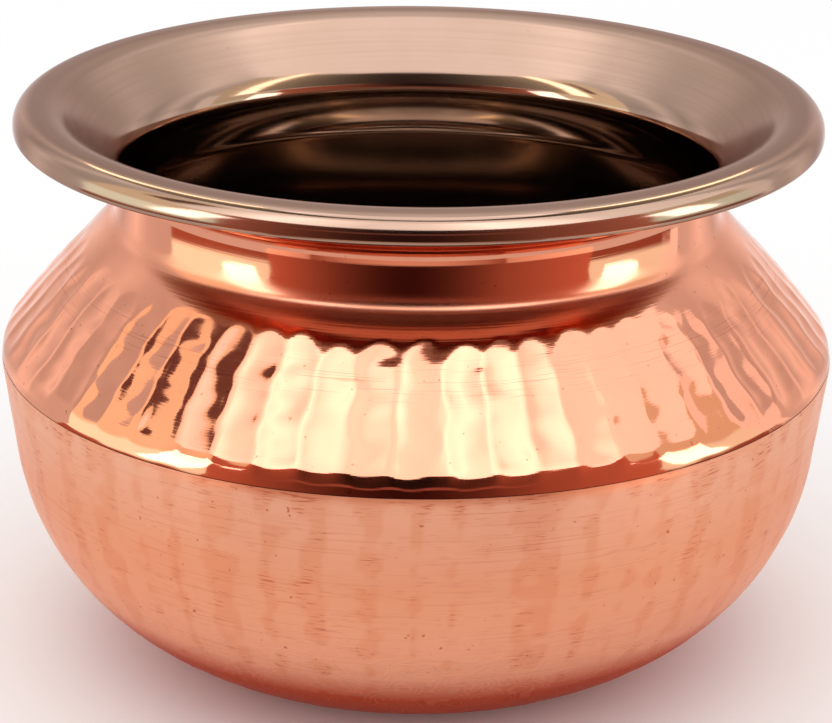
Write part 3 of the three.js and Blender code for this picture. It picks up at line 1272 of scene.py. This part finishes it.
class CopperBowl(SpunSheet):
    """The jacket's lower half: the base, the satin bowl, and the edge that laps behind the shoulder."""

    straight_pitches = 1.5

    def __init__(self, pitch: float = 0.8, hidden_pitch: float = 2.5) -> None:
        """Draws both faces. The face that shows is the outside."""
        super().__init__(
            name="bowl",
            node="copper_bowl",
            slot=Slot.SATIN_COPPER,
            columns=512,
            outer=self.face(0.0, SEAM.step_top, pitch),
            inner=self.face(SIZES.copper_sheet, SEAM.step_foot, hidden_pitch),
        )

    def face(self, thickness: float, step: float, pitch: float) -> Section:
        """Draws one face, from the middle of the base to the top of the lap.

        Args:
            thickness: Depth of the face inside the sheet, from its outside.
            step: Angle on the belly's round edge at which the face steps in.
            pitch: Longest distance between two points on an arc.

        Returns:
            The face's points.
        """
        face = [
            *JACKET.lower_face(thickness, step, pitch),
            *JACKET.crease_face(SIZES.seat_depth + thickness, step, SEAM.lap_top, pitch),
        ]
        return refined([(0.0, face[0][1]), *face], self.straight_pitches * pitch)

    def planish(self) -> None:
        """Strikes the faint upright marks that are left in the satin bowl."""
        marks = Flutes(
            count=60,
            fade=62.0,
            top=109.0,
            depth=0.055,
            steep_radius=75.0,
            gentle_radius=95.0,
            end_radius=500.0,
            skew=0.0,
            ripple=0.012,
            seed=23,
        )
        self.strike([marks], wave=0.05, wave_seed=7)


@dataclass(frozen=True)
class Panel:
    """A soft lamp that faces the bowl's middle. Angles are in degrees and sizes in metres.

    Attributes:
        name: Name of the lamp.
        azimuth: Its angle round the bowl, to the right of the front.
        elevation: Its angle above the bowl's middle.
        distance: Its distance from there.
        width: Width of its face.
        height: Height of its face.
        level: Brightness of its face.
        use: What it is for.
        roll: Its turn about the line to the bowl.
    """

    name: str
    azimuth: float
    elevation: float
    distance: float
    width: float
    height: float
    level: float
    use: Use = Use.METAL
    roll: float = 0.0


@dataclass(frozen=True)
class Card:
    """A curved card round the bowl, seen only in its reflections. Angles are in degrees, seen from the neck.

    Attributes:
        name: Name of the card.
        azimuths: Where it starts and ends round the bowl, to the right of the front.
        tones: Elevations from its foot to its top, with the tone at each.
        edge: Tone that it takes on towards both ends.
        levels: Azimuths from its start to its end, with the strength of its tones at each.
        radius: Distance of its upright part from the axis; below the table's level it lies on the table.
    """

    name: str
    azimuths: Span
    tones: tuple[tuple[float, Tone], ...]
    edge: Tone | None = None
    levels: tuple[tuple[float, float], ...] = ((0.0, 1.0),)
    radius: float = 0.62


# Azimuth, elevation, distance, width, height and level of each lamp.
LAMPS = (
    Panel("key", -20.0, 70.0, 1.4, 1.2, 1.2, 0.6, use=Use.TABLE),
    Panel("overhead", 0.0, 84.0, 1.0, 1.2, 0.8, 1.05),
    Panel("strip_left", -60.0, 8.0, 0.55, 0.13, 0.32, 3.5, roll=-22.0),
    Panel("strip_right", 72.0, 6.0, 0.55, 0.14, 0.28, 3.5, roll=22.0),
)

# Tones of the cards at elevations in degrees, and levels at azimuths.
FRONT_TONES = (
    (-38.0, Tone.PEACH), (-23.0, Tone.PEACH),
    (-21.0, Tone.DUSK), (6.0, Tone.DUSK),
    (7.0, Tone.LINE), (11.0, Tone.LINE),
    (13.0, Tone.BLACK), (45.0, Tone.BLACK),
)
BESIDE_TONES = ((-38.0, Tone.PEACH), (-23.0, Tone.PEACH), (-21.0, Tone.RUST), (45.0, Tone.RUST))
SIDE_TONES = (
    (-22.0, Tone.RUST), (-14.0, Tone.RUST),
    (-12.0, Tone.CREAM), (10.0, Tone.CREAM),
    (16.0, Tone.AMBER), (60.0, Tone.AMBER),
)
BEHIND_TONES = (
    (-25.0, Tone.WHITE), (15.0, Tone.WHITE),
    (22.0, Tone.MIST), (40.0, Tone.WHITE),
    (60.0, Tone.GLOW), (75.0, Tone.GLOW),
)
FLAG_TONES = ((38.0, Tone.BROWN), (56.0, Tone.BROWN))
FILL_TONES = ((-20.0, Tone.WHITE), (35.0, Tone.WHITE))
SOFTBOX_TONES = ((33.5, Tone.WHITE), (67.0, Tone.WHITE))
SHADE_TONES = ((70.0, Tone.UMBER), (84.0, Tone.UMBER))

SOFTBOX_LEVELS = (
    (-63.0, 1.8), (-51.0, 2.3), (-38.0, 3.4), (-13.0, 2.2), (5.0, 2.4),
    (20.0, 3.6), (37.0, 3.0), (50.0, 1.9), (93.0, 1.8),
)
BACK_RIGHT_LEVELS = (
    (106.0, 0.95), (113.0, 1.0), (122.0, 1.4), (136.0, 0.85), (150.0, 1.25), (165.0, 0.85), (180.0, 1.0),
)
BACK_LEFT_LEVELS = tuple((-azimuth, level) for azimuth, level in reversed(BACK_RIGHT_LEVELS))
GLEAM_LEVELS = (
    (-106.0, 1.2), (-102.0, 1.2), (-100.0, 6.0), (-89.0, 6.0), (-87.0, 1.0),
    (94.0, 1.0), (96.0, 6.0), (107.0, 6.0), (109.0, 1.2), (114.0, 1.2),
)

CARDS = (
    Card("front_wall", (-36.0, 30.0), FRONT_TONES, edge=Tone.RUST),
    Card("front_left", (-52.0, -36.0), BESIDE_TONES, levels=((-52.0, 1.8), (-36.0, 1.0))),
    Card("front_right", (30.0, 62.0), BESIDE_TONES, levels=((30.0, 1.0), (62.0, 1.9))),
    Card("left_wall", (-97.0, -52.0), SIDE_TONES, levels=((-75.0, 1.4), (-52.0, 1.1))),
    Card("left_flag", (-87.0, -74.0), FLAG_TONES, radius=0.58),
    Card("right_wall", (62.0, 101.0), SIDE_TONES),
    Card("right_fill", (96.0, 106.0), FILL_TONES, levels=((0.0, 1.5),), radius=0.6),
    Card("softbox", (-63.0, 93.0), SOFTBOX_TONES, levels=SOFTBOX_LEVELS, radius=0.22),
    Card("back_left", (-180.0, -97.0), BEHIND_TONES, levels=BACK_LEFT_LEVELS),
    Card("back_right", (106.0, 180.0), BEHIND_TONES, levels=BACK_RIGHT_LEVELS),
    Card("mouth_flag", (-106.0, 114.0), SHADE_TONES, edge=Tone.AMBER, levels=GLEAM_LEVELS, radius=0.075),
)


def aim(piece: bpy.types.Object, target: Vector, roll: float) -> None:
    """Faces a lamp or the camera to a place, turned about the line to it by a roll in radians."""
    level = (target - piece.location).to_track_quat("-Z", "Y").to_matrix()
    piece.rotation_euler = (level @ Matrix.Rotation(roll, 3, "Z")).to_euler()


@dataclass
class Studio:
    """A white table in a white room, with soft lamps, cards and the camera. Sizes are in metres.

    Attributes:
        middle: Height of the bowl's middle, which the lamps face.
        neck_radius: Radius of the neck, from which the cards' elevations are measured.
        neck_height: Height of the neck there.
        card_lift: Height of the cards that lie on the table.
        card_step: Angle between two points of a card, in degrees.
        floor_size: Side of the table.
        floor_gap: Gap between the table and the base.
        floor_tone: Colour of the table.
        camera_position: Place of the camera.
        camera_aim: Place that it faces.
        camera_roll: Its turn about the line to that place, in radians.
        camera_near: Nearest distance that it sees.
        focal_length: Its focal length in millimetres.
        sensor_width: The width of its sensor in millimetres.
    """

    middle: float = 0.06
    neck_radius: float = 0.055
    neck_height: float = 0.08
    card_lift: float = 0.002
    card_step: float = 1.0
    floor_size: float = 12.0
    floor_gap: float = 0.0001
    floor_tone: Colour = rgb(0.93, 0.93, 0.93)
    camera_position: tuple[float, float, float] = (0.0, -0.45837, 0.2238)
    camera_aim: tuple[float, float, float] = (0.0, 0.0, 0.05032)
    camera_roll: float = math.radians(0.635)
    camera_near: float = 0.01
    focal_length: float = 117.95
    sensor_width: float = 36.0

    def lay_floor(self) -> None:
        """Lays the table."""
        deselect_all()
        bpy.ops.mesh.primitive_plane_add(size=self.floor_size, location=(0.0, 0.0, -self.floor_gap))
        floor = bpy.context.object
        floor.name = "floor"
        made, graph = blank_material("table")
        graph.show(graph.add("ShaderNodeBsdfDiffuse", {"Color": self.floor_tone}))
        floor.data.materials.append(made)

    def paint_world(self) -> None:
        """Makes the white room."""
        world = bpy.data.worlds.new("room")
        world.use_nodes = True
        graph = Graph(world.node_tree)
        room = graph.add("ShaderNodeBackground", {"Color": Tone.WHITE.value, "Strength": 1.0})
        graph.add("ShaderNodeOutputWorld", {0: room.outputs[0]})
        bpy.context.scene.world = world

    def hang_lamp(self, panel: Panel) -> None:
        """Hangs a soft lamp that faces the bowl.

        Args:
            panel: Its place, size and level.
        """
        light = bpy.data.lights.new(panel.name, "AREA")
        light.shape = "RECTANGLE"
        light.size, light.size_y = panel.width, panel.height
        light.energy = panel.level * math.pi * panel.width * panel.height
        lamp = bpy.data.objects.new(panel.name, light)
        bpy.context.scene.collection.objects.link(lamp)
        turn, rise = math.radians(panel.azimuth), math.radians(panel.elevation)
        out = panel.distance * math.cos(rise)
        height = self.middle + panel.distance * math.sin(rise)
        lamp.location = Vector((out * math.sin(turn), -out * math.cos(turn), height))
        aim(lamp, Vector((0.0, 0.0, self.middle)), math.radians(panel.roll))
        lamp.visible_camera = False
        lamp.visible_diffuse = panel.use is Use.TABLE
        lamp.visible_glossy = panel.use is Use.METAL

    def card_point(self, card: Card, elevation: float) -> Vector:
        """Finds the place on a card at an elevation from the neck.

        Args:
            card: The card.
            elevation: The elevation in degrees.

        Returns:
            The place in the XZ plane, on the card's upright part or where it lies on the table.
        """
        slope = math.tan(math.radians(elevation))
        height = self.neck_height + (card.radius - self.neck_radius) * slope
        if height >= self.card_lift:
            return Vector((card.radius, 0.0, height))
        reach = self.neck_radius - (self.neck_height - self.card_lift) / slope
        return Vector((reach, 0.0, self.card_lift))

    def stand_card(self, card: Card) -> None:
        """Stands a curved card round the bowl, to be seen in reflections alone.

        Args:
            card: Its place and tones.
        """
        foot, top = card.tones[0][0], card.tones[-1][0]
        elevations = np.arange(foot, top + self.card_step, self.card_step)
        points = [self.card_point(card, float(elevation)) for elevation in elevations]
        first, last = (math.radians(azimuth) - QUARTER_TURN for azimuth in card.azimuths)
        steps = round(math.degrees(last - first) / self.card_step)
        piece = turned(card.name, points, first, last, steps)
        self.paint_card(piece, card)
        piece.visible_camera = False
        piece.visible_diffuse = False
        piece.visible_shadow = False
        piece.visible_transmission = False

    def paint_card(self, piece: bpy.types.Object, card: Card) -> None:
        """Paints a card's tones on its points and makes it glow with them.

        Args:
            piece: The card's mesh.
            card: Its place and tones.
        """
        heights = [elevation for elevation, _ in card.tones]
        parts = list(zip(*(tone.value[:3] for _, tone in card.tones)))
        middle = sum(card.azimuths) / 2
        half = (card.azimuths[1] - card.azimuths[0]) / 2
        painted = []
        for vertex in piece.data.vertices:
            across = math.hypot(vertex.co.x, vertex.co.y) - self.neck_radius
            elevation = math.degrees(math.atan2(vertex.co.z - self.neck_height, across))
            azimuth = math.degrees(math.atan2(vertex.co.x, -vertex.co.y))
            tone = [float(np.interp(elevation, heights, part)) for part in parts]
            if card.edge is not None:
                share = min(1.0, abs(azimuth - middle) / half) ** 2
                tone = [part * (1 - share) + end * share for part, end in zip(tone, card.edge.value)]
            level = float(np.interp(azimuth, *zip(*card.levels)))
            painted += [*(level * part for part in tone), 1.0]
        layer = piece.data.color_attributes.new(Layer.TONE.value, "FLOAT_COLOR", "POINT")
        layer.data.foreach_set("color", painted)
        made, graph = blank_material(card.name)
        tones = graph.add("ShaderNodeAttribute", attribute_name=Layer.TONE.value)
        graph.show(graph.add("ShaderNodeEmission", {"Color": tones.outputs["Color"], "Strength": 1.0}))
        piece.data.materials.append(made)

    def set_camera(self) -> None:
        """Sets the camera where the photograph was taken from."""
        data = bpy.data.cameras.new("camera")
        data.lens, data.sensor_width = self.focal_length, self.sensor_width
        data.clip_start = self.camera_near
        camera = bpy.data.objects.new("camera", data)
        bpy.context.scene.collection.objects.link(camera)
        camera.location = Vector(self.camera_position)
        aim(camera, Vector(self.camera_aim), self.camera_roll)
        bpy.context.scene.camera = camera

    def build(self) -> None:
        """Builds the table, the room, the lamps, the cards and the camera."""
        self.lay_floor()
        self.paint_world()
        for panel in LAMPS:
            self.hang_lamp(panel)
        for card in CARDS:
            self.stand_card(card)
        self.set_camera()
        bpy.context.scene.view_settings.view_transform = "Standard"
        log.info("studio: %d lamps, %d cards", len(LAMPS), len(CARDS))


def main() -> None:
    """Builds the bowl's pieces in order, then the studio."""
    logging.basicConfig(level=logging.INFO, format="%(name)s: %(message)s")
    liner = SteelLiner()
    liner.build()
    liner.settle()
    liner.dress(SpunSteel(liner.length_at(SIZES.neck_height)).material())
    shoulder = CopperShoulder()
    shoulder.build()
    shoulder.hammer()
    shoulder.dress(HammeredCopper(shoulder.length_at(JACKET.fillet_top)).material())
    bowl = CopperBowl()
    bowl.build()
    bowl.planish()
    bowl.dress(SatinCopper().material())
    Studio().build()


if __name__ == "__main__":
    main()
